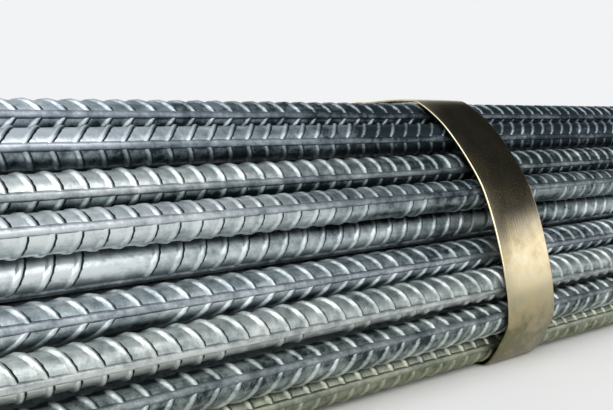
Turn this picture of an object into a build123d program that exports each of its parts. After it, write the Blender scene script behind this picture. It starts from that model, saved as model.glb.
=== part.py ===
from build123d import *
import math
import os
import random

import numpy as np

# A bundle of ribbed reinforcing bars held by flat steel straps, lying on a level floor.
# The bars run along X, the bundle's uneven face looks towards -Y, and the straps stand
# on Z = 0. The origin is under the middle of the bundle. Millimetres.

# One bar: a round core with ribs rolled on it. The plain round here is its size over the ribs.
bar_core_d = 11.5
rib_height = 0.9
bar_length = 6000.0
bar_count = 70
bar_gap = 0.3            # air left between the two closest bars
end_stagger = 14.0       # how far a bar may lie out of line with the others, each way

# Straps: flat steel band drawn tight round the bars, its two ends lapped on the far side
strap_width = 32.0
strap_thickness = 1.0
strap_gap = 0.3          # air between a strap and the bars that it bears on
strap_count = 4
strap_from_end = 750.0   # from the bars' ends to the middle of the first strap
lap_length = 70.0
lap_angle = 38.0         # degrees above level, seen from the middle of the bundle

# Where the nine bars of the face lie, from the top down: sideways and up from the
# middle of the strapped curve, in bar spacings. The last one lies on the floor.
face_bars = [
    (-1.67, 4.75), (-2.50, 4.15), (-3.09, 3.23), (-3.83, 2.56), (-3.32, 1.70),
    (-3.97, 0.81), (-4.64, 0.05), (-4.75, -0.95), (-4.28, -1.82),
]
floor_level = face_bars[-1][1]
strapped_radius = 4.84   # the strap draws the other bars' centres within this, in spacings

# How the loose bars settle behind the face, a step at a time, in spacings
settling_steps = 700
drawn_share = 0.8        # share of the steps in which the strap draws and the weight acts
draw_in = 0.006          # share of its distance from the middle that a bar is drawn in by
sink = 0.01              # how far a bar sinks
face_return = 0.2        # share of its shift that a face bar goes back by
face_mobility = 0.005    # how easily a loose bar moves a face bar, against a loose one's 1
pushes = 4               # times that overlapping bars are pushed apart in a step
push_share = 0.7         # share of each overlap that one push takes out
touching = 1.0008        # bars nearer than this are pushed apart
floor_catch = 0.12       # bars this near the floor lie on it
room_behind_face = 0.75  # the first places behind the face keep this far from its bars

# Nodes that share the bars behind the face, from the outside of the bundle inwards
layer_nodes = ["outer_bars_1", "outer_bars_2", "inner_bars_1", "inner_bars_2", "inner_bars_3"]

bar_r = (bar_core_d + 2 * rib_height) / 2


def distances(places, others):
    """Distance from every place to every other, endless for a place and itself."""
    apart = np.linalg.norm(places[:, None] - others[None], axis=2)
    return np.where(apart > 0, apart, math.inf)


def start_places():
    """The face bars, then places of close-packed rows behind them, nearest the middle first."""
    face = np.array(face_bars)
    column, row = np.meshgrid(np.arange(-12, 13), np.arange(9))
    side = face[-1, 0] + column + row % 2 / 2
    height = floor_level + row * math.sqrt(0.75)
    grid = np.column_stack([side.ravel(), height.ravel()])
    reach = np.hypot(*grid.T)

    # A place is behind the face if it lies nearer the middle than the face does on its side
    face_turn = np.arctan2(face[:, 1], face[:, 0]) % math.tau
    order = np.argsort(face_turn)
    grid_turn = np.arctan2(grid[:, 1], grid[:, 0]) % math.tau
    open_side = reach.max() + 1
    limit = np.interp(grid_turn, face_turn[order], np.hypot(*face[order].T), open_side, open_side)
    behind = (reach < limit) & (grid[:, 0] > face[:, 0].min())
    behind &= distances(grid, face).min(axis=1) > room_behind_face
    nearest = np.argsort(reach[behind])[: bar_count - len(face)]
    return np.vstack([face, grid[behind][nearest]])


def push_apart(places, mobility):
    """Moves every two bars that overlap away from each other, the looser one further."""
    away = places[:, None] - places[None]
    apart = distances(places, places)
    overlap = np.clip(touching - apart, 0, None)
    share = mobility[:, None] / (mobility[:, None] + mobility[None])
    return places + push_share * (away * (overlap * share / apart)[..., None]).sum(axis=1)


def settled_places():
    """Bars drawn together by the strap and their weight, until they lie on each other."""
    places = start_places()
    home = np.array(face_bars)
    face = slice(len(home))
    rest = slice(len(home), None)
    mobility = np.ones(len(places))
    mobility[face] = face_mobility
    for step in range(settling_steps):
        drawn = step < drawn_share * settling_steps
        if drawn:
            places[rest, 0] *= 1 - draw_in
            places[rest, 1] -= sink
            places[face] += face_return * (home - places[face])
        for _ in range(pushes):
            places = push_apart(places, mobility)
            if drawn:
                reach = np.hypot(*places[rest].T)
                places[rest] *= np.minimum(1, strapped_radius / reach)[:, None]
            places[places[:, 1] < floor_level + floor_catch, 1] = floor_level
    return places


def convex_outline(points):
    """The corners of the tightest outline round the points, anticlockwise."""
    ordered = sorted(tuple(point) for point in points)

    def half(run):
        chain = []
        for y, z in run:
            while len(chain) > 1:
                (y0, z0), (y1, z1) = chain[-2:]
                if (y1 - y0) * (z - z0) - (z1 - z0) * (y - y0) > 0:
                    break
                chain.pop()
            chain.append((y, z))
        return chain[:-1]

    return half(ordered) + half(ordered[::-1])


# The strap's outside runs this far from the centres of the bars that it bears on
strap_reach = bar_r + strap_gap + strap_thickness

# Bar centres in the bundle's section, with the bundle's middle over Y = 0
spacings = settled_places()
centres = spacings * (2 * bar_r + bar_gap) / distances(spacings, spacings).min()
centres[:, 0] -= (centres[:, 0].min() + centres[:, 0].max()) / 2
centres[:, 1] += strap_reach - centres[:, 1].min()
middle_height = (centres[:, 1].min() + centres[:, 1].max()) / 2
hull = convex_outline(centres)

# Every bar lies a little out of line with the next, as bars do in a bundle
slips = np.linspace(-end_stagger, end_stagger, bar_count).tolist()
random.Random(7).shuffle(slips)


def bars(numbers):
    """The bars of one node, each a solid of its own."""
    with BuildPart() as group:
        for number in numbers:
            with BuildSketch(Plane.YZ.offset(slips[number] - bar_length / 2)):
                with Locations(tuple(centres[number])):
                    Circle(bar_r)
            extrude(amount=bar_length)
    return group


def strap(place):
    """One band round the bundle, with a second layer where its two ends are lapped."""
    plane = Plane.YZ.offset(place - strap_width / 2)
    with BuildPart() as loop:
        with BuildSketch(plane):
            Polygon(*hull, align=None)
            offset(amount=strap_reach + strap_thickness, kind=Kind.ARC)
            with Locations(Location((0, middle_height), lap_angle)):
                Rectangle(bar_length, lap_length, align=(Align.MIN, Align.CENTER), mode=Mode.INTERSECT)
        extrude(amount=strap_width)
        with BuildSketch(plane):
            Polygon(*hull, align=None)
            offset(amount=strap_reach, kind=Kind.ARC)
        extrude(amount=strap_width)
        with BuildSketch(plane):
            Polygon(*hull, align=None)
            offset(amount=strap_reach - strap_thickness, kind=Kind.ARC)
        extrude(amount=strap_width, mode=Mode.SUBTRACT)
    return loop


os.makedirs("parts", exist_ok=True)

# The bars of the face, one to a node, from the top down
for number in range(len(face_bars)):
    face_bar = bars([number])
    face_bar.part.label = f"face_bar_{number + 1}"
    export_step(face_bar.part, f"parts/{face_bar.part.label}.step")

# The other bars, each node taking those a little nearer the middle
from_middle = np.hypot(*spacings.T)
others = sorted(range(len(face_bars), bar_count), key=lambda number: -from_middle[number])
for label, numbers in zip(layer_nodes, np.array_split(others, len(layer_nodes))):
    group = bars(numbers)
    group.part.label = label
    export_step(group.part, f"parts/{label}.step")

strap_spacing = (bar_length - 2 * strap_from_end) / (strap_count - 1)
for number in range(strap_count):
    loop = strap((number - (strap_count - 1) / 2) * strap_spacing)
    loop.part.label = f"strap_{number + 1}"
    export_step(loop.part, f"parts/{loop.part.label}.step")
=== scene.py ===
import math

import bpy
import numpy as np
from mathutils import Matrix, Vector


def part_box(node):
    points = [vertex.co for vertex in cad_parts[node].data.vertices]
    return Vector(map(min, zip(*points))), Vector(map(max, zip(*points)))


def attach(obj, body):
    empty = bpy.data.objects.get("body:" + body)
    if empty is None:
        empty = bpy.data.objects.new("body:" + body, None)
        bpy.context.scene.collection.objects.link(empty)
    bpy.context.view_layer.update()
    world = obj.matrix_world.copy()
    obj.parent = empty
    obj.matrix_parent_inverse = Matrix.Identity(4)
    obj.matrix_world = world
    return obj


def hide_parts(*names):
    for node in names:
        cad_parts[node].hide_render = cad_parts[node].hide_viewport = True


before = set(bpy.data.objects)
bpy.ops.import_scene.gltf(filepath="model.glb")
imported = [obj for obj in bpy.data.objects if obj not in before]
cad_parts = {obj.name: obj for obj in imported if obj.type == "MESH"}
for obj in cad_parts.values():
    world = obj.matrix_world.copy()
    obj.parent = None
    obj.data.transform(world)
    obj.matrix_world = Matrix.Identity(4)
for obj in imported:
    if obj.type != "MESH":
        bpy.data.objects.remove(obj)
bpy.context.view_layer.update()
mm = 0.001

# The nine bars of the bundle's uneven front: plain carbon steel, hot-rolled and left as it cooled,
# under a thin skin of grey mill scale. Each is a round core with two long ribs opposite each other
# and two rows of crescent ribs between them, all pressed out of it by the grooves of the last rolls.
core_radius = 5.75 * mm
rib_height = 0.9 * mm
rib_foot = 3.5 * mm           # a rib's width at its foot, measured along the bar
rib_narrowing = 0.18          # the share of that width that it loses at its tips
rib_clear = 0.14 * mm         # how far a rib's skin lies off the core between its two feet
rib_sunk = 0.08 * mm          # how far its feet lie under the core's surface
rib_start = math.radians(4.0)   # how far round from the first long rib it starts
rib_end = math.radians(176.0)   # and ends
rib_fade = math.radians(95.0)   # this far from its middle, its crest's height would be gone
shortest_rib = 0.35           # a rib that the sheared end leaves with less than this, in radians, goes
out_of_step = 0.06 * mm       # how unevenly the ribs are spaced, each way
uneven_fill = 0.045           # the share by which they differ in height, each way
rib_cycle = 2000              # the unevenness starts again after this many ribs
strap_x = -0.75               # where the strap in view stands, and where a bar's turn is given
close_view = (-1.03, -0.56)   # the stretch that is looked at closely, where the ribs are finest
close_step = 0.004            # how often the long ribs have points there
far_step = 0.05               # and how often elsewhere

# Across a long rib, in millimetres: sideways and up from the core
long_rib = [(-1.5, -0.1), (-1.25, 0.22), (-1.0, 0.55), (-0.6, 0.76)]
long_rib += [(0.6, 0.76), (1.0, 0.55), (1.25, 0.22), (1.5, -0.1)]
plain_long_rib = [(-1.6, -0.1), (-1.0, 0.78), (1.0, 0.78), (1.6, -0.1)]
# Across a crescent rib: places in widths of its foot, heights in those of its crest, and how far it
# is rubbed pale there, or under 0 how dark the painted shade in the corner at its right foot is
rounded_rib = [(-0.5, 0.0, 0.3), (-0.38, 0.14, 0.4), (-0.31, 0.4, 0.7), (-0.2, 0.86, 1.0)]
rounded_rib += [(-0.02, 1.0, 1.0), (0.16, 0.94, 0.7), (0.25, 0.1, -1.2), (0.42, 0.0, -1.2)]
rounded_rib += [(0.56, 0.0, 0.3)]
plain_rib = [(-0.42, 0.0, 0.1), (0.0, 1.05, 1.0), (0.42, 0.0, -0.6)]
# The edge that the shears leave, in millimetres: inwards from the core's surface, and beyond its end
sheared_edge = [(0.0, 0.0), (0.25, 0.22), (0.6, 0.3)]

# For each bar, first where its long rib in view faces at the strap in degrees, its slow turn in
# degrees a metre, which way the ribs' tips point at that long rib, its tone from cool to warm, and
# how much paler or darker its scale is made, as wear and mostly as painted light and shade: below
# the long rib and above it, each well left of the strap and then round the strap, where the dark
# values paint a shade over the top bars. After that, for the row of ribs below the long rib and
# for the row above it, the place of rib 0 and the spacing in millimetres, how far a rib runs along
# the bar for its way round it, how full its groove was, and the ribs missing where the bar is left
# smooth.
front_bars = {
    "face_bar_1": (
        (169.8, 35.0, 1, 0.25, ((-0.3, -1.5), (0.5, -1.8))),
        (-945.4, 7.935, 0.9, 0.85, []),
        (-945.0, 7.93, 0.6, 0.8, []),
    ),
    "face_bar_2": (
        (182.0, 30.0, -1, 0.25, ((-0.8, -1.3), (1.6, -1.8))),
        (-957.6, 7.957, 0.55, 0.8, []),
        (-958.5, 7.957, 0.9, 0.8, []),
    ),
    "face_bar_3": (
        (181.2, 6.0, 1, 0.5, ((0.2, -1.3), (1.2, -1.4))),
        (-958.4, 8.146, 0.4, 0.8, []),
        (-959.2, 8.146, 0.22, 0.85, []),
    ),
    "face_bar_4": (
        (164.0, 4.0, 1, 0.4, ((1.5, -0.8), (1.0, -1.2))),
        (-966.9, 8.006, 0.17, 0.6, [18, 19, 22, 23, 31, 32]),
        (-962.9, 7.71, 0.3, 0.5, []),
    ),
    "face_bar_5": (
        (240.2, -5.0, -1, 0.4, ((1.4, 0.8), (1.0, -0.4))),
        (-960.5, 8.61, 0.43, 0.8, []),
        (-960.5, 8.61, 0.43, 0.75, [3, 4]),
    ),
    "face_bar_6": (
        (178.5, 45.0, 1, 0.35, ((0.5, 0.0), (0.2, -0.9))),
        (-959.0, 8.41, 0.9, 0.9, [4, 5]),
        (-958.9, 8.42, 0.52, 0.9, []),
    ),
    "face_bar_7": (
        (201.8, 60.0, 1, 0.6, ((1.4, 1.6), (0.5, -0.4))),
        (-966.6, 7.876, -0.16, 0.85, [9, 10, 13, 14, 17, 22]),
        (-967.8, 8.188, 0.45, 0.9, []),
    ),
    "face_bar_8": (
        (157.5, 5.0, 1, 0.6, ((-0.9, -0.9), (-0.7, -0.7))),
        (-930.4, 8.14, 0.72, 0.9, []),
        (-929.6, 8.16, 0.42, 0.9, []),
    ),
    "face_bar_9": (
        (174.8, -5.0, 1, 0.9, ((-0.6, -0.6), (0.2, 0.1))),
        (-938.8, 7.95, 0.3, 0.85, []),
        (-937.4, 8.155, 0.3, 0.85, []),
    ),
}
# Along a bar, its scale has plain wear up to the first of these places, the first given value of
# wear and painted light and shade at the second, the second one from the third to the fourth, and
# plain wear again from the fifth
wear_and_shade_places = (-1.6, -0.95, -0.79, -0.5, 0.0)
plain_wear = 0.1
# Painted shade where a neighbour bar is close: cosines of the angle between a surface's facing and
# the neighbour, from where the painted shade begins to where it is darkest
shade_between_bars = (0.92, 1.0)
shade_between_gone = (13.8 * mm, 15.5 * mm)  # the painted shade from a neighbour fades over these distances, then stops
neighbour = 18.5 * mm         # bars nearer than this stand in each other's way
# The bake map cuts a bar into strips of equal length, one above the other
bake_rows = 12
bake_edge = 0.03              # the share of the map's width left free at each end of a strip
bake_turns = 1.15             # a strip has room for a whole turn and a little more
bake_cap = 0.004              # how large the flat ends are drawn
inner_nodes = ("outer_bars_1", "outer_bars_2", "inner_bars_1", "inner_bars_2", "inner_bars_3")


def linear(text):
    """An sRGB hex colour as linear numbers: each channel over 12.92, or raised to 2.4."""
    parts = [int(text[i : i + 2], 16) / 255 for i in (1, 3, 5)]
    return [p / 12.92 if p <= 0.04045 else ((p + 0.055) / 1.055) ** 2.4 for p in parts] + [1.0]


def node(tree, kind, inputs=None, stops=None, **settings):
    """Adds a node with its settings. An input takes a value, a socket, or a node for its first output.
    A colour ramp takes stops of (place, hex colour). Inputs that share a name go by number: a colour
    mix has its share at 0 and its two colours at 6 and 7."""
    made = tree.nodes.new(kind)
    for name, value in settings.items():
        setattr(made, name, value)
    for key, value in (inputs or {}).items():
        value = value.outputs[0] if isinstance(value, bpy.types.Node) else value
        if isinstance(value, bpy.types.NodeSocket):
            tree.links.new(value, made.inputs[key])
        else:
            made.inputs[key].default_value = value
    for number, (place, colour) in enumerate(stops or []):
        stop = made.color_ramp.elements[number] if number < 2 else made.color_ramp.elements.new(place)
        stop.position = place
        stop.color = linear(colour)
    return made


def rolled_steel(name, dark, middle, pale, roughness):
    """Steel under mill scale: grey that goes from dark to pale with streaks along the bar, blotches
    and the wear of its crests, darker with painted shade at a rib's foot, next to other bars,
    underneath and round the strap, and satin to the light."""
    material = bpy.data.materials.new(name)
    material.use_nodes = True
    tree = material.node_tree
    shader = tree.nodes["Principled BSDF"]
    place = node(tree, "ShaderNodeTexCoord").outputs["Object"]
    # Streaks 4 mm wide and fifteen times as long, drawn out by the rolls
    drawn = node(tree, "ShaderNodeMapping", {"Vector": place, "Scale": (0.065, 1.0, 1.0)})
    streaks = {"Vector": drawn, "Scale": 250.0, "Detail": 3.0, "Roughness": 0.6}
    streaks = node(tree, "ShaderNodeTexNoise", streaks)
    # Blotches 12 mm across, where the scale is thicker, and dents of 3 mm
    blotches = {"Vector": place, "Scale": 85.0, "Detail": 4.0, "Roughness": 0.62}
    blotches = node(tree, "ShaderNodeTexNoise", blotches)
    dents = {"Vector": place, "Scale": 330.0, "Detail": 2.0, "Roughness": 0.5}
    dents = node(tree, "ShaderNodeTexNoise", dents)
    # Grain of 0.7 mm: the real one is finer, but this is as fine as the view shows
    grain = {"Vector": place, "Scale": 1400.0, "Detail": 2.0, "Roughness": 0.5}
    grain = node(tree, "ShaderNodeTexNoise", grain)
    # This attribute brings the crests' wear and the painted shade at ribs' feet, between bars, underneath
    # and round the strap
    rubbed_and_painted_shade = node(tree, "ShaderNodeAttribute", attribute_name="rubbed_and_painted_shade").outputs["Fac"]
    tone = node(tree, "ShaderNodeAttribute", attribute_name="tone").outputs["Fac"]
    # The wear and painted shade is a sum of shares of all these, less what keeps the plain scale at a
    # middle grey
    wear = -0.7
    for source, share in ((streaks, 0.6), (blotches, 0.8), (dents, 0.5), (grain, 0.25), (rubbed_and_painted_shade, 0.28)):
        wear = node(tree, "ShaderNodeMath", {0: source, 1: share, 2: wear}, operation="MULTIPLY_ADD")
    grey = node(tree, "ShaderNodeValToRGB", {"Fac": wear}, [(0.12, dark), (0.45, middle), (0.8, pale)])
    # Each bar's cast, from blue through near white to olive
    casts = [(0.0, "#dfe9f6"), (1.0, "#ebecd6"), (0.5, "#f0f6f4")]
    cast = node(tree, "ShaderNodeValToRGB", {"Fac": tone}, casts)
    toned = node(tree, "ShaderNodeMix", {0: 1.0, 6: grey, 7: cast}, data_type="RGBA", blend_type="MULTIPLY")
    # Olive dust on what lies in the lowest 20 mm
    height = node(tree, "ShaderNodeSeparateXYZ", {"Vector": place}).outputs["Z"]
    low = node(tree, "ShaderNodeMapRange", {"Value": height, "From Min": 0.02, "From Max": 0.003})
    dust = node(tree, "ShaderNodeMath", {0: low, 1: blotches}, operation="MULTIPLY", use_clamp=True)
    dusty = {0: dust, 6: toned.outputs[2], 7: linear("#84885f")}
    dusty = node(tree, "ShaderNodeMix", dusty, data_type="RGBA")
    tree.links.new(dusty.outputs[2], shader.inputs["Base Color"])
    rough = {"Value": wear, "To Min": roughness + 0.12, "To Max": roughness - 0.1}
    rough = node(tree, "ShaderNodeMapRange", rough)
    tree.links.new(rough.outputs[0], shader.inputs["Roughness"])
    shader.inputs["Metallic"].default_value = 0.82
    # Fine grain on the shallow unevenness that rolling leaves
    relief = node(tree, "ShaderNodeMath", {0: dents, 1: 0.5, 2: blotches}, operation="MULTIPLY_ADD")
    relief = node(tree, "ShaderNodeMath", {0: grain, 1: 0.05, 2: relief}, operation="MULTIPLY_ADD")
    bump = node(tree, "ShaderNodeBump", {"Height": relief, "Strength": 0.5, "Distance": 0.0006})
    tree.links.new(bump.outputs[0], shader.inputs["Normal"])
    return material


# Mill scale gives the eye a satin grey with paler crests, the rubbed long ribs are a little cooler
# and plainer, and the sheared ends show bare steel
bar_steel = [
    rolled_steel("hot_rolled_steel_with_mill_scale", "#283438", "#a3aaac", "#e9e9e9", 0.4),
    rolled_steel("mill_scale_rubbed_on_long_ribs", "#2c363d", "#90959a", "#dcdbdd", 0.4),
    rolled_steel("sheared_steel_end", "#80868b", "#a5abb0", "#d0d4d6", 0.42),
]


def way_faced(bar, along, turn):
    """The way that points of a bar face: their angle from its long rib, which itself turns slowly
    along the bar."""
    return np.radians(bar["turned"] + bar["twist"] * (along - strap_x)) + turn


def on_bar(bar, along, turn, height):
    """Points of a bar: at a distance along it, an angle from its long rib and a height above its
    core."""
    angle = way_faced(bar, along, turn)
    out = core_radius + height
    return np.stack([along, bar["y"] + out * np.cos(angle), bar["z"] + out * np.sin(angle)], -1)


def paleness(bar, along, turn, share, worn_and_shaded):
    """How pale points of a bar are made, by wear and by painted light and shade. To the share that
    their shape gives, which holds the crests' wear and the painted shade at a rib's foot, comes the
    bar's given wear and painted light and shade, interpolated along it and blended over the long rib,
    which shows most on the plain skin and not at all in the corners. Painted shade takes off most
    next to a neighbour, and a little underneath."""
    given = np.array(bar["wear"])
    given = np.column_stack([given, given[:, 1]])
    wear = [np.interp(along, wear_and_shade_places, (plain_wear, *values, plain_wear)) for values in given]
    below = 0.5 + 0.5 * np.clip(6 * np.sin(turn), -1, 1)
    wear = wear[0] * below + wear[1] * (1 - below)
    wear = wear * worn_and_shaded * np.clip(2.5 * share, 0, 1) * (1.2 - 0.6 * share)
    # Painted shade: darker facing a close neighbour, and a little on the underside
    angle = way_faced(bar, along, turn)
    shade_from_neighbour = np.interp(np.cos(angle[..., None] - bar["neighbours"]), shade_between_bars, (0, 1))
    shade_from_neighbour = (shade_from_neighbour * bar["closeness"]).max(-1)
    return share + wear - (1.1 * shade_from_neighbour + 0.15 * np.clip(-np.sin(angle), 0, 1))


def core_patch(bar, sides, stations):
    """The round core: rings of points all round, evenly along the bar and at the stations, apart from
    a station that nearly meets one of the even places."""
    turn = np.linspace(-math.pi, math.pi, sides + 1)[None, :, None]
    rows = np.linspace(*bar["ends"], bake_rows + 1)
    along = np.union1d(rows, [x for x in stations if abs(rows - x).min() > mm])[None, None, :]
    return {"turn": turn, "along": along, "height": 0 * turn, "closed": True, "rubbed_and_painted_shade": 0.4}


def long_rib_patch(bar, across, stations):
    """Both long ribs: the same profile at 0 and 180 degrees, carried along the bar, a little wider
    and narrower as three slow sines run. It sinks into the core at both ends."""
    side, up = np.array(across).T * mm
    middle = np.array([0.0, math.pi])[:, None, None]
    stations = np.concatenate([stations[:1], stations, stations[-1:]])
    waver = sum(np.sin(stations * f + bar["seed"] * f) for f in (170.0, 410.0, 733.0)) / 3
    turn = middle + side[None, :, None] / core_radius * (1 + 0.06 * waver)
    height = up[None, :, None] * (1 + 0.05 * waver) + 0 * turn
    height[..., [0, -1]] = up.min()
    rubbed_and_painted_shade = 0.1 + 0.45 * np.clip(up / up.max(), 0, 1)[None, :, None]
    patch = {"turn": turn, "along": stations[None, None, :], "height": height, "rubbed_and_painted_shade": rubbed_and_painted_shade}
    return patch | {"worn_and_shaded": 0.8, "material": 1}


def rib_patch(bar, numbers, side, across, segments):
    """A row of crescent ribs. Each runs round the bar from one long rib to the other and, for that
    way, along it. Its crest keeps its height for most of the way and runs into the long ribs at both
    ends; where the bar is cut off, the rib is cut off as well and sinks into the core."""
    first, pitch, slant, fill = bar["rows"][side]
    wobble = np.random.default_rng(bar["seed"] + 50 + side)
    start = first + pitch * numbers + wobble.normal(0, out_of_step, rib_cycle)[numbers % rib_cycle]
    size = fill * (1 + wobble.normal(0, uneven_fill, rib_cycle)[numbers % rib_cycle])
    run = -bar["points"] * slant * core_radius
    # How far round the bar each rib meets the bar's ends, and stops a little over half its foot short
    edges = (np.array(bar["ends"])[:, None] - start) / run
    margin = 0.6 * rib_foot / abs(run)
    low = np.clip(edges.min(0) + margin, rib_start, None)
    high = np.clip(edges.max(0) - margin, None, rib_end)
    whole = high - low > shortest_rib
    start, low, high, size = start[whole], low[whole], high[whole], size[whole]
    share = np.linspace(0, 1, segments + 1)
    away = low[:, None] + (high - low)[:, None] * (share if side > 0 else share[::-1])
    sinking = abs((away - math.pi / 2) / rib_fade) ** 9
    crest = np.clip(rib_height * size[:, None] * (1 - sinking), 0, rib_height)
    place, level, worn_and_shaded = np.array(across).T
    width = rib_foot * (1 - rib_narrowing * (1 - np.sin(away)))
    along = (start[:, None] + run * away)[..., None] + width[..., None] * place
    height = np.maximum(crest[..., None] * level, rib_clear)
    height[..., [0, -1]] = -rib_sunk
    ends = away[:, [0, -1], None]
    cut = (ends > rib_start + 1e-6) & (ends < rib_end - 1e-6)
    height[:, [0, -1]] = np.where(cut, -rib_sunk, height[:, [0, -1]])
    turn = (side * away)[..., None] + 0 * along
    return {"turn": turn, "along": along, "height": height, "rubbed_and_painted_shade": worn_and_shaded}


def end_patch(bar, sides, outwards):
    """A sheared end: a narrow rounded edge that steps in from the core, and a flat face inside it."""
    turn = np.linspace(-math.pi, math.pi, sides + 1)[None, :, None]
    inwards, beyond = np.array(sheared_edge)[::outwards].T * mm
    along = bar["ends"][(outwards + 1) // 2] + outwards * beyond
    patch = {"turn": turn, "along": along[None, None, :] + 0 * turn, "height": -inwards + 0 * turn}
    return patch | {"closed": True, "rubbed_and_painted_shade": 0.4, "material": 2, "cap": -1 if outwards > 0 else 0}


def grid_faces(number):
    """The four corners of every cell of grids of numbers, in the order that faces outwards."""
    corners = (number[:, :-1, :-1], number[:, 1:, :-1], number[:, 1:, 1:], number[:, :-1, 1:])
    return np.stack(corners, -1).reshape(-1, 4)


def bar_mesh(name, patches):
    """One mesh from patches of (bar, grid). A grid's rows go round the bar and its columns along it.
    The bake map lays the bar out as strips: its way along, cut into equal lengths, by its way round."""
    points, faces, corners, slots, rubbed_and_painted_shade, tones = [], [], [], [], [], []
    count = 0
    for bar, patch in patches:
        grids = np.broadcast_arrays(patch["along"], patch["turn"], patch["height"], patch["rubbed_and_painted_shade"])
        along, turn, height, share = grids
        place = on_bar(bar, along, turn, height)
        share = paleness(bar, along, turn, share, patch.get("worn_and_shaded", 1.0))
        number = np.arange(along.size).reshape(along.shape)
        joined = number
        if patch.get("closed"):
            place, share = place[:, :-1], share[:, :-1]
            rings = np.arange(share.size).reshape(share.shape)
            joined = np.concatenate([rings, rings[:, :1]], 1)
        quads = grid_faces(joined)
        points.append(place.reshape(-1, 3))
        faces.extend((quads + count).tolist())
        slots.append(np.full(len(quads), patch.get("material", 0)))
        rubbed_and_painted_shade.append(share.ravel())
        tones.append(np.full(share.size, bar["tone"]))
        # The bake map
        drawn = grid_faces(number)
        length = (bar["ends"][1] - bar["ends"][0]) / bake_rows
        way = along.ravel()[drawn] - bar["ends"][0]
        row = np.clip((way.mean(1) // length).astype(int), 0, bake_rows - 1)
        u = bake_edge + (1 - 2 * bake_edge) * (way / length - row[:, None])
        v = (row[:, None] + 0.5 + turn.ravel()[drawn] / (math.tau * bake_turns)) / bake_rows
        corners.append(np.stack([u, (bar["cell"] + v) / bar["cells"]], -1).reshape(-1, 2))
        if "cap" in patch:
            rim = joined[0, :-1, patch["cap"]]
            rim = rim if patch["cap"] == -1 else rim[::-1]
            faces.append((rim + count).tolist())
            slots.append(np.full(1, patch["material"]))
            round_rim = np.linspace(0, math.tau, len(rim), endpoint=False)
            v = (bar["cell"] + 0.5 + bake_cap * np.sin(round_rim)) / bar["cells"]
            corners.append(np.column_stack([0.5 + bake_cap * np.cos(round_rim), v]))
        count += share.size
    mesh = bpy.data.meshes.new(name)
    mesh.from_pydata(np.concatenate(points), [], faces)
    mesh.uv_layers.new(name="OFBake").data.foreach_set("uv", np.concatenate(corners).ravel())
    for label, values in (("rubbed_and_painted_shade", rubbed_and_painted_shade), ("tone", tones)):
        mesh.attributes.new(label, "FLOAT", "POINT").data.foreach_set("value", np.concatenate(values))
    for material in bar_steel:
        mesh.materials.append(material)
    mesh.polygons.foreach_set("material_index", np.concatenate(slots))
    mesh.polygons.foreach_set("use_smooth", [len(face) == 4 for face in faces])
    mesh.update()
    piece = bpy.data.objects.new(name, mesh)
    bpy.context.collection.objects.link(piece)
    return piece


def rib_numbers(bar, side):
    """The numbers of the ribs of a row whose feet may lie on the bar, and their places."""
    first, pitch = bar["rows"][side][:2]
    reach = (np.array(bar["ends"]) - first) // pitch + [-2, 4]
    numbers = np.arange(*reach.astype(int))
    return numbers, first + pitch * numbers


# Where every bar lies, read from the model: the front ones first
bars = []
for name in (*front_bars, *inner_nodes):
    low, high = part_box(name)
    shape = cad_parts[name].data
    corners = np.empty(len(shape.vertices) * 3, np.float32)
    shape.vertices.foreach_get("co", corners)
    corners = corners.reshape(-1, 3).astype(float)
    # The bars start at different places, so a start tells one bar's ring of corners from the next
    starts = np.unique(corners[corners[:, 0] < 0, 0].round(6))
    length = high.x - starts.max()
    for x in starts:
        ring = corners[abs(corners[:, 0] - x) < 2e-6]
        y, z = (ring.min(0) + ring.max(0))[1:] / 2
        bars.append({"node": name, "y": y, "z": z, "ends": (x, x + length)})
centres = np.array([(bar["y"], bar["z"]) for bar in bars])
for bar in bars:
    away = centres - (bar["y"], bar["z"])
    reach = np.hypot(*away.T)
    near = np.flatnonzero((reach > 1e-6) & (reach < neighbour))
    near = near[np.argsort(np.arctan2(away[near, 1], away[near, 0]))]
    bar["neighbours"] = np.arctan2(away[near, 1], away[near, 0])
    bar["closeness"] = np.interp(reach[near], shade_between_gone, (1, 0))

for index, (bar, values) in enumerate(zip(bars, front_bars.values())):
    (turned, twist, points, tone, wear), below, above = values
    name = bar["node"]
    low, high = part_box(name)
    bar |= {"turned": turned, "twist": twist, "points": points, "tone": tone, "wear": wear}
    bar["rows"] = {side: np.array(row[:4]) * (mm, mm, 1, 1) for side, row in ((1, below), (-1, above))}
    bar |= {"seed": 11 + 3 * index, "cell": 0, "cells": 1}
    stations = [np.arange(low.x, close_view[0], far_step), np.arange(*close_view, close_step)]
    stations = np.concatenate(stations + [np.arange(close_view[1], high.x, far_step), [high.x]])
    patches = [core_patch(bar, 48, stations[::10]), end_patch(bar, 48, -1), end_patch(bar, 48, 1)]
    patches.append(long_rib_patch(bar, long_rib, stations))
    for side, bare in ((1, below[4]), (-1, above[4])):
        numbers, place = rib_numbers(bar, side)
        near = (place > close_view[0]) & (place < close_view[1])
        patches.append(rib_patch(bar, np.setdiff1d(numbers[near], bare), side, rounded_rib, 8))
        patches.append(rib_patch(bar, numbers[~near], side, plain_rib, 5))
    piece = bar_mesh("front_" + name[5:], [(bar, patch) for patch in patches])
    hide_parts(name)
    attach(piece, "root")

# The other sixty-one bars: the same ribbed steel as the front ones, held by the same straps. One at
# the bundle's outside has ribs along its whole length, on the rows that can be seen. One with bars
# all round it shows only at its ends, so its ribs are kept there.
end_stretch = 0.15            # how much of an enclosed bar shows from its end
open_gap = math.radians(125.0)  # room free of neighbours that leaves a bar open to view
row_in_view = -0.35           # cosine of the widest angle from its open side at which a row shows
bars_a_piece = 9              # a node's open bars are shared between two pieces when there are more

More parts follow.
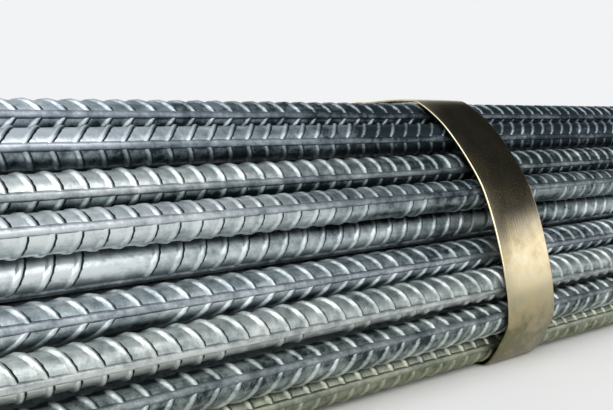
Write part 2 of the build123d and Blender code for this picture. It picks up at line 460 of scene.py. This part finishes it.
chance = np.random.default_rng(5)
rest = bars[len(front_bars) :]
for index, bar in enumerate(rest):
    facing = bar["neighbours"]
    gaps = np.diff(np.append(facing, facing[0] + math.tau))
    bar |= {"open": gaps.max() > open_gap, "faces": facing[gaps.argmax()] + gaps.max() / 2}
    bar |= {"turned": chance.uniform(0, 360), "twist": chance.uniform(-8, 8), "points": 1}
    pitch, slant = chance.uniform(7.8, 8.3) * mm, chance.uniform(0.35, 0.6)
    bar |= {"rows": {side: (chance.uniform(0, 8) * mm, pitch, slant, 0.9) for side in (1, -1)}}
    bar |= {"seed": 60 + 3 * index, "tone": chance.uniform(0.3, 0.7)}
    bar |= {"wear": chance.uniform(-0.1, 0.3, (2, 2))}

for node_name in inner_nodes:
    members = [bar for bar in rest if bar["node"] == node_name]
    outside = [bar for bar in members if bar["open"]]
    half = (len(outside) + 1) // 2
    pieces = {"enclosed": [bar for bar in members if not bar["open"]], "outside": outside}
    if len(outside) > bars_a_piece:
        pieces |= {"outside": outside[:half], "outside_2": outside[half:]}
    for label, group in pieces.items():
        patches = []
        for cell, bar in enumerate(group):
            bar |= {"cell": cell, "cells": len(group)}
            stations = np.linspace(*bar["ends"], 61 if bar["open"] else 13)
            made = [core_patch(bar, 24, []), end_patch(bar, 24, -1), end_patch(bar, 24, 1)]
            made.append(long_rib_patch(bar, plain_long_rib, stations))
            for side in (1, -1):
                numbers, place = rib_numbers(bar, side)
                at_ends = (place < bar["ends"][0] + end_stretch) | (place > bar["ends"][1] - end_stretch)
                row_faces = math.radians(bar["turned"]) + side * math.pi / 2
                seen = bar["open"] and math.cos(row_faces - bar["faces"]) > row_in_view
                made.append(rib_patch(bar, numbers if seen else numbers[at_ends], side, plain_rib, 5))
            patches += [(bar, patch) for patch in made]
        if patches:
            piece = bar_mesh(f"{node_name}_{label}", patches)
            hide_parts(node_name)
            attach(piece, "root")

# The straps: flat steel band under a thin gold-brown lacquer, drawn tight round the bars. Their two
# ends are lapped on the far side and pressed together there at three spots.
strap_thickness = 1.0 * mm
strap_half = 16.0 * mm        # half the band's width
strap_gap = 0.35 * mm         # air between the bars' ribs and the strap's inside
strap_clear = rib_height + core_radius + strap_gap
band_stiffness = math.radians(5.0)  # the band rounds a corner over this angle each way
lap_facing = math.radians(38.0)
lap_half = 35.0 * mm
lap_spots = (-20.0 * mm, 0.0, 20.0 * mm)
spot_radius = 3.0 * mm
spot_depth = 0.35 * mm
# Across the band: rolled edges, and a very slight bend two thirds of the way over. Pairs of places
# in half widths and heights in thicknesses, round the outline, with the outside first.
band_outline = [(-1.0, 0.3), (-1.0, 0.62), (-0.985, 0.8), (-0.96, 0.86), (-0.4, 0.97)]
band_outline += [(0.3, 1.0), (0.42, 0.96), (0.96, 0.86), (0.985, 0.8), (1.0, 0.62), (1.0, 0.3)]
band_outline += [(0.98, 0.03), (0.0, 0.03), (-0.98, 0.03)]


def lacquered_steel(name):
    """Steel band with a thin gold-brown lacquer: smooth and shiny, with fine drawn lines along the
    band, cloudy where the lacquer is thin, and darker brown-green near the floor as painted shade."""
    material = bpy.data.materials.new(name)
    material.use_nodes = True
    tree = material.node_tree
    shader = tree.nodes["Principled BSDF"]
    place = node(tree, "ShaderNodeTexCoord").outputs["Object"]
    # Lines of 1 mm, drawn out along the band: the real ones are finer
    along = node(tree, "ShaderNodeMapping", {"Vector": place, "Scale": (1.0, 0.03, 0.03)})
    lines = node(tree, "ShaderNodeTexNoise", {"Vector": along, "Scale": 900.0, "Detail": 3.0})
    clouds = {"Vector": place, "Scale": 60.0, "Detail": 5.0, "Roughness": 0.62}
    clouds = node(tree, "ShaderNodeTexNoise", clouds)
    spots = {"Vector": place, "Scale": 240.0, "Detail": 3.0, "Roughness": 0.6}
    spots = node(tree, "ShaderNodeTexNoise", spots)
    thin = node(tree, "ShaderNodeMath", {0: spots, 1: 0.3, 2: clouds}, operation="MULTIPLY_ADD")
    golds = [(0.4, "#cdb992"), (0.85, "#f6ecd0"), (0.63, "#ecd9b0")]
    cloudy = node(tree, "ShaderNodeValToRGB", {"Fac": thin}, golds)
    # Painted shade: towards the floor the gold darkens to brown-green
    height = node(tree, "ShaderNodeSeparateXYZ", {"Vector": place}).outputs["Z"]
    low = {"Value": height, "From Min": 0.048, "From Max": 0.012, "To Max": 1.5}
    low = node(tree, "ShaderNodeMapRange", low)
    painted_low_shade = node(tree, "ShaderNodeMath", {0: low, 1: thin}, operation="MULTIPLY", use_clamp=True)
    low_shaded_gold = node(tree, "ShaderNodeMix", {0: painted_low_shade, 6: cloudy, 7: linear("#6f6b49")}, data_type="RGBA")
    tree.links.new(low_shaded_gold.outputs[2], shader.inputs["Base Color"])
    rough = {"Value": thin, "From Min": 0.4, "From Max": 0.85, "To Min": 0.23, "To Max": 0.15}
    rough = node(tree, "ShaderNodeMapRange", rough)
    tree.links.new(rough.outputs[0], shader.inputs["Roughness"])
    shader.inputs["Metallic"].default_value = 1.0
    bump = node(tree, "ShaderNodeBump", {"Height": lines, "Strength": 0.12, "Distance": 0.0003})
    tree.links.new(bump.outputs[0], shader.inputs["Normal"])
    return material


# The lacquer gives the eye a warm gold that mirrors the light in one broad bright stretch
lacquer = lacquered_steel("lacquered_steel_band")


def band_path():
    """The strap's way round the bars, a point for each degree. In every direction its inside lies
    beyond the bar that reaches furthest; that reach is smoothed round the bundle, as a stiff band
    smooths it, and moved out to clear every bar. A point is the reach along its direction plus the
    reach's change across it."""
    facing = np.linspace(0, math.tau, 360, endpoint=False)
    out = np.column_stack([np.cos(facing), np.sin(facing)])
    reach = (out @ centres.T).max(1) + strap_clear
    waves = np.fft.rfft(reach)
    number = np.arange(len(waves))
    waves *= np.exp(-((band_stiffness * number) ** 2) / 2)
    smooth = np.fft.irfft(waves)
    smooth += (reach - smooth).max()
    change = np.fft.irfft(1j * number * waves)
    path = smooth[:, None] * out + change[:, None] * out[:, ::-1] * (-1, 1)
    path[:, 1] = np.maximum(path[:, 1], strap_thickness)
    return path, out


def band_mesh(name, x, path, out, lift):
    """A band: the outline across it, carried along the path and lifted off it. Points number the
    rows along the path by the outline's corners; a band with open ends gets a face on each."""
    closed = len(path) == len(band)
    across, level = np.array(band_outline).T * [[strap_half], [strap_thickness]]
    rows, count = len(path), len(across)
    points = np.empty((rows, count, 3))
    points[..., 0] = x + across[None, :]
    points[..., 1:] = path[:, None] + (level[None, :] + lift)[..., None] * out[:, None]
    i, j = np.meshgrid(np.arange(rows if closed else rows - 1), np.arange(count), indexing="ij")
    k, m = (i + 1) % rows, (j + 1) % count
    faces = np.stack([i * count + j, k * count + j, k * count + m, i * count + m], -1)
    faces = faces.reshape(-1, 4).tolist()
    if not closed:
        faces += [list(range(count)), [(rows - 1) * count + n for n in reversed(range(count))]]
    mesh = bpy.data.meshes.new(name)
    mesh.from_pydata(points.reshape(-1, 3), [], faces)
    mesh.materials.append(lacquer)
    mesh.polygons.foreach_set("use_smooth", [len(face) == 4 for face in faces])
    piece = bpy.data.objects.new(name, mesh)
    bpy.context.collection.objects.link(piece)
    return piece


band, band_out = band_path()
lap_middle = np.array([0.0, (centres[:, 1].min() + centres[:, 1].max()) / 2])
along_lap = (band - lap_middle) @ (math.cos(lap_facing), math.sin(lap_facing))
across_lap = (band - lap_middle) @ (-math.sin(lap_facing), math.cos(lap_facing))
lapped = np.flatnonzero((along_lap > 0) & (abs(across_lap) < lap_half))
# How far the lap is pressed in at each of its points: fully in the middle of a spot
spot_side = np.array(band_outline)[:, 0] * strap_half
pressed = 0.0
for spot in lap_spots:
    from_spot = (across_lap[lapped, None] - spot) ** 2 + spot_side**2
    pressed = pressed + np.exp(-from_spot / spot_radius**2)
lap_lift = strap_thickness - spot_depth * pressed

for name in ("strap_1", "strap_2", "strap_3", "strap_4"):
    low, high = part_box(name)
    x = (low.x + high.x) / 2
    loop = band_mesh(name + "_band", x, band, band_out, 0.0)
    lap = band_mesh(name + "_lap", x, band[lapped], band_out[lapped], lap_lift)
    for piece in (loop, lap):
        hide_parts(name)
        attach(piece, "root")

# The floor, the light and the camera: a pale floor and a pale sky, with one dark side above the bars'
# far end that the steel mirrors, so that it shows its shape, and soft lamps in front, on the left and
# above.
dark_side = (0.944, -0.108, 0.312)    # the way to the middle of the dark side
lamp_distance = 6.0

floor_mesh = bpy.data.meshes.new("floor")
floor_mesh.from_pydata([(-40, -40, 0), (40, -40, 0), (40, 40, 0), (-40, 40, 0)], [], [(0, 1, 2, 3)])
floor = bpy.data.objects.new("floor", floor_mesh)
bpy.context.collection.objects.link(floor)
# Pale matt paint: a plain ground that takes the bundle's shadow
floor_paint = bpy.data.materials.new("pale_floor")
floor_paint.use_nodes = True
floor_shader = floor_paint.node_tree.nodes["Principled BSDF"]
floor_shader.inputs["Base Color"].default_value = linear("#efedea")
floor_shader.inputs["Roughness"].default_value = 0.9
floor_mesh.materials.append(floor_paint)

# Low down the sky is pale all round. Higher up it goes from pale to dark towards the dark side.
world = bpy.data.worlds.new("studio")
bpy.context.scene.world = world
world.use_nodes = True
sky = world.node_tree
way = node(sky, "ShaderNodeTexCoord").outputs["Generated"]
up = node(sky, "ShaderNodeSeparateXYZ", {"Vector": way}).outputs["Z"]
toward_dark = node(sky, "ShaderNodeVectorMath", {0: way, 1: dark_side}, operation="DOT_PRODUCT")
toward_dark = toward_dark.outputs["Value"]
high_sky = node(sky, "ShaderNodeValToRGB", {"Fac": toward_dark}, [(0.72, "#c3c9cf"), (0.87, "#15181a")])
near_horizon = node(sky, "ShaderNodeMapRange", {"Value": up, "From Min": 0.25, "From Max": 0.17})
tint = {0: near_horizon, 6: high_sky, 7: linear("#f2f3f4")}
tint = node(sky, "ShaderNodeMix", tint, data_type="RGBA")
sky.links.new(tint.outputs[2], sky.nodes["Background"].inputs["Color"])

# Each light, as even over the whole bundle as a wall of softboxes a long way off: the way it comes
# from, how many degrees of the view it fills, and its strength
lights = {
    "left_softboxes": ((-0.55, -0.58, 0.60), 60.0, 1.2),
    "front_softboxes": ((0.20, -0.80, 0.56), 46.0, 0.8),
    "top_softboxes": ((-0.40, -0.10, 0.90), 50.0, 0.5),
    "low_softboxes": ((0.86, -0.50, 0.08), 22.0, 0.05),
}
for name, (way_from, wide, strength) in lights.items():
    light = bpy.data.lights.new(name, "SUN")
    light.angle = math.radians(wide)
    light.energy = strength
    lamp = bpy.data.objects.new(name, light)
    bpy.context.collection.objects.link(lamp)
    lamp.location = Vector(way_from) * lamp_distance
    lamp.rotation_euler = Vector(way_from).to_track_quat("Z", "Y").to_euler()

# The camera stands 0.2 m in front of the bundle, as high as its top, and looks along it past a strap
lens = bpy.data.cameras.new("camera")
lens.lens = 56.0
lens.sensor_width = 36.0
lens.clip_start = 0.01
camera = bpy.data.objects.new("camera", lens)
bpy.context.collection.objects.link(camera)
camera.location = (-1.0730, -0.2847, 0.0991)
camera.rotation_euler = (math.radians(84.70), 0.0, math.radians(-43.38))
bpy.context.scene.camera = camera
bpy.context.scene.view_settings.view_transform = "Standard"
